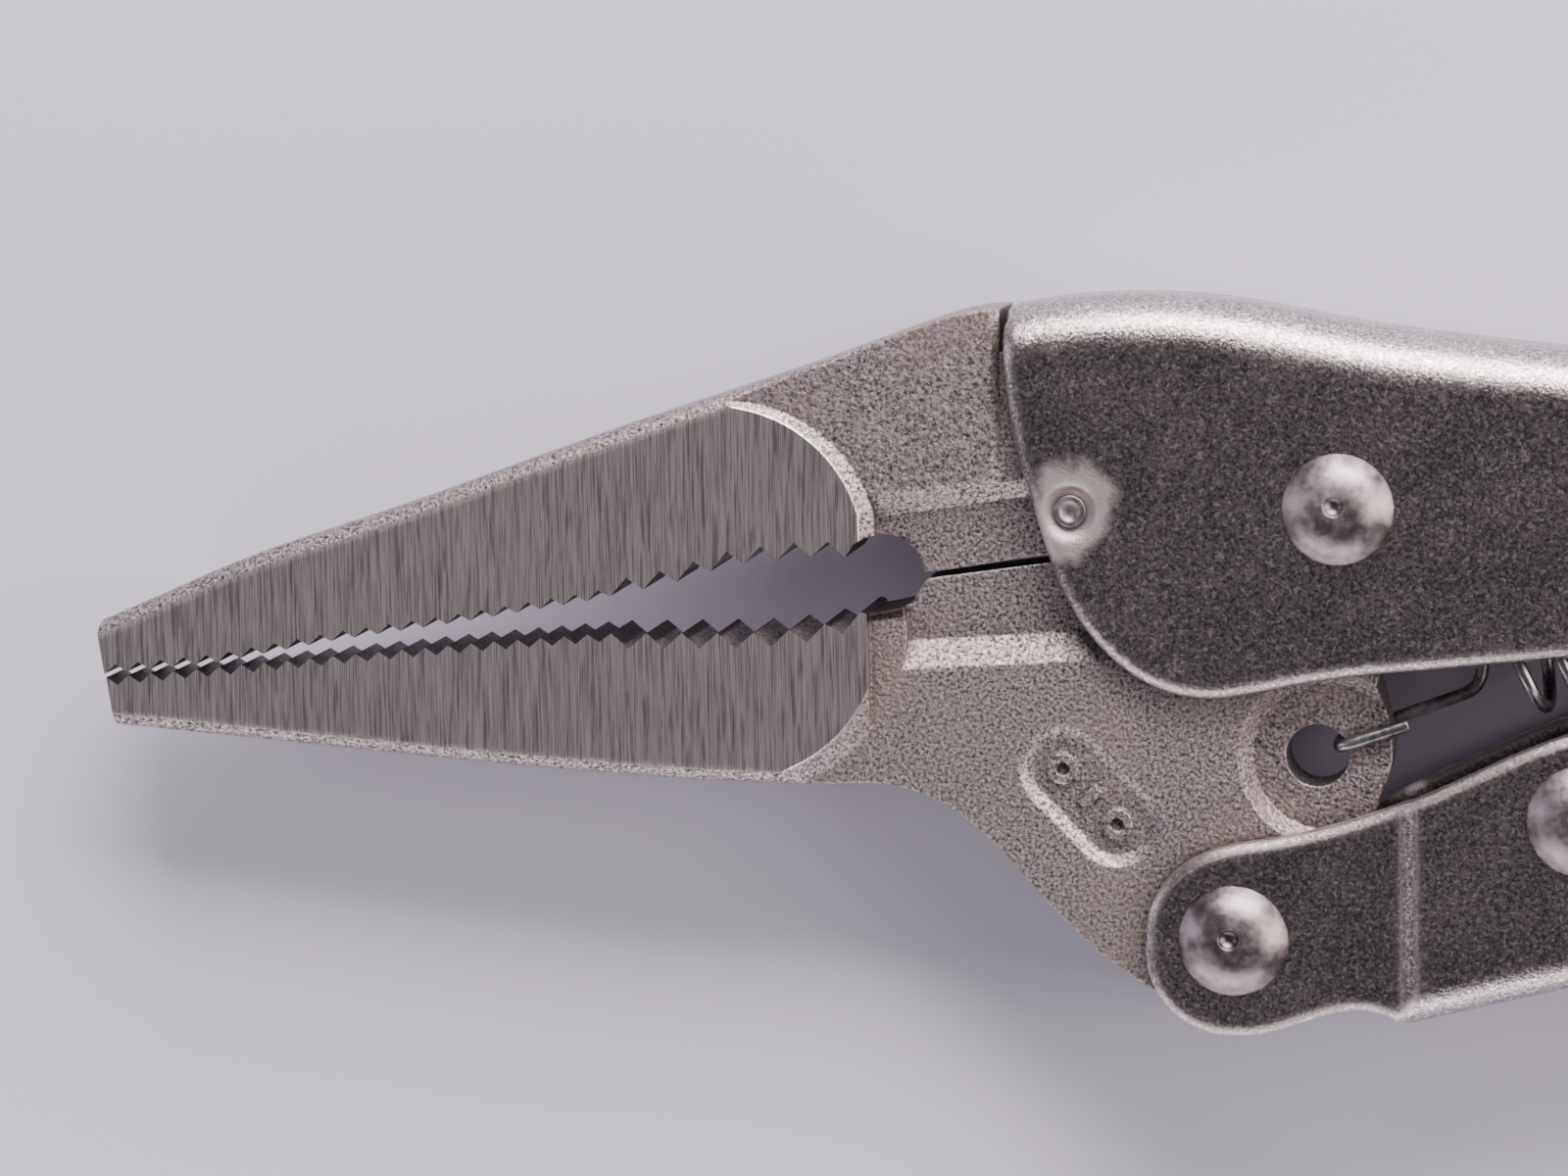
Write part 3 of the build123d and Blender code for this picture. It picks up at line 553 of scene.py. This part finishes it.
# %% Knurled knob
knob = bmesh.new()
GRIP_LOW, GRIP_HIGH, GRIP_RADIUS, ROWS, AROUND = 22.0, 28.4, 4.97, 48, 224
grip = [(GRIP_RADIUS, GRIP_LOW + (GRIP_HIGH - GRIP_LOW) * row / ROWS) for row in range(ROWS + 1)]
profile = [(0, 22.05), (2.97, 22.05), (2.97, 20.1), (3.2, 20.0), (3.8, 20.0), (3.88, 20.1),
           (3.88, 21.4), (4.4, 21.42), (4.75, 21.7)] + grip + [
           (4.6, 28.8), (4.3, 28.97), (3.5, 28.97), (3.1, 28.75), (2.0, 28.7), (0, 28.7)]
bmesh.ops.spin(knob, geom=wire_loop(knob, profile), cent=(0, 0, 0), axis=(0, 0, 1), angle=tau,
               steps=AROUND)
bmesh.ops.remove_doubles(knob, verts=knob.verts, dist=0.004 * MM)
RIDGES, DEPTH = 28, 0.32
for vert in knob.verts:
    across = (vert.co.z / MM - GRIP_LOW) / (GRIP_HIGH - GRIP_LOW)
    radius = vert.co.xy.length / MM
    if radius > GRIP_RADIUS - 0.02 and 0.02 < across < 0.98:
        angle = atan2(vert.co.y, vert.co.x)
        lead = (GRIP_HIGH - GRIP_LOW) * (across - 0.5) / GRIP_RADIUS
        valleys = [abs(sin(RIDGES * (angle + way * lead) / 2)) for way in (-1, 1)]
        press = DEPTH * (1 - min(valleys)) ** 1.5
        vert.co.xy *= (radius - press) / radius
print("open edges", sum(edge.is_boundary for edge in knob.edges))
finish_piece("knurled_knob", knob, turned_nickel, "thumb_knob", "thumb_knob")

# %% [markdown]
# ## The return spring
# The spring is one length of wire. Its front hook passes through the jaw's ear, its coil lies in
# the channel of the fixed handle, and its rear hook holds the tab there. A round wire drawn along
# one smooth line gives its shape. It stretches as the jaws open.

# %% Spring wire
COIL_PITCH, COIL_RADIUS, COIL_TURNS, WIRE_RADIUS = 2.4, 2.53, 11.5, 0.4
coil_start, tab = Vector((10.3, -10.3, 0)), Vector((47.0, -0.4, 0))
axis = (Vector((47.0, 0.6, 0)) - coil_start).normalized()
side = axis.cross(Vector((0, 0, 1)))
line = [Vector(point) for point in (
    (4.0, -13.2, 2.55), (2.0, -13.85, 2.55), (0.4, -14.4, 2.5), (-0.2, -14.6, 2.1),
    (-0.25, -14.6, 0.0), (-0.2, -14.6, -2.1), (0.4, -14.4, -2.5), (3.0, -13.45, -2.55),
    (6.2, -12.3, -2.55), (7.6, -11.8, -2.55), (8.1, -11.0, -2.5), (8.2, -10.2, -2.45),
    (8.35, -9.0, -2.1), (8.8, -8.25, -1.3))]
for step in range(int(COIL_TURNS * 16) + 1):
    angle = -tau * step / 16
    line.append(coil_start + axis * COIL_PITCH * step / 16
                - side * COIL_RADIUS * cos(angle) - Vector((0, 0, COIL_RADIUS * sin(angle))))
line += [tab + Vector(point) for point in (
    (-7.5, -2.6, 0), (-5.0, -0.9, 0), (-2.2, 0, 0), (0.8, 0, 0), (1.7, 0.2, 0), (1.9, 1.0, 0),
    (1.9, 1.7, 0))]
curve = bpy.data.curves.new("spring_line", "CURVE")
curve.dimensions = "3D"
curve.bevel_depth = WIRE_RADIUS * MM
curve.bevel_resolution = 3
curve.use_fill_caps = True
spline = curve.splines.new("NURBS")
spline.points.add(len(line) - 1)
for point, spot in zip(spline.points, line):
    point.co = (*(pivot + spot * MM), 1)
spline.order_u = 3
spline.use_endpoint_u = True
spline.resolution_u = 3
guide = bpy.data.objects.new("spring_line", curve)
spring_data = bpy.data.meshes.new_from_object(guide)
spring_data.name = "spring_wire"
spring_data.materials.clear()
spring_data.materials.append(wire_zinc)
bpy.data.objects.remove(guide)
spring = bpy.data.objects.new("spring_wire", spring_data)
bpy.context.scene.collection.objects.link(spring)
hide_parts("tension_spring")
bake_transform(spring)
print("spring", len(spring_data.polygons), "faces")
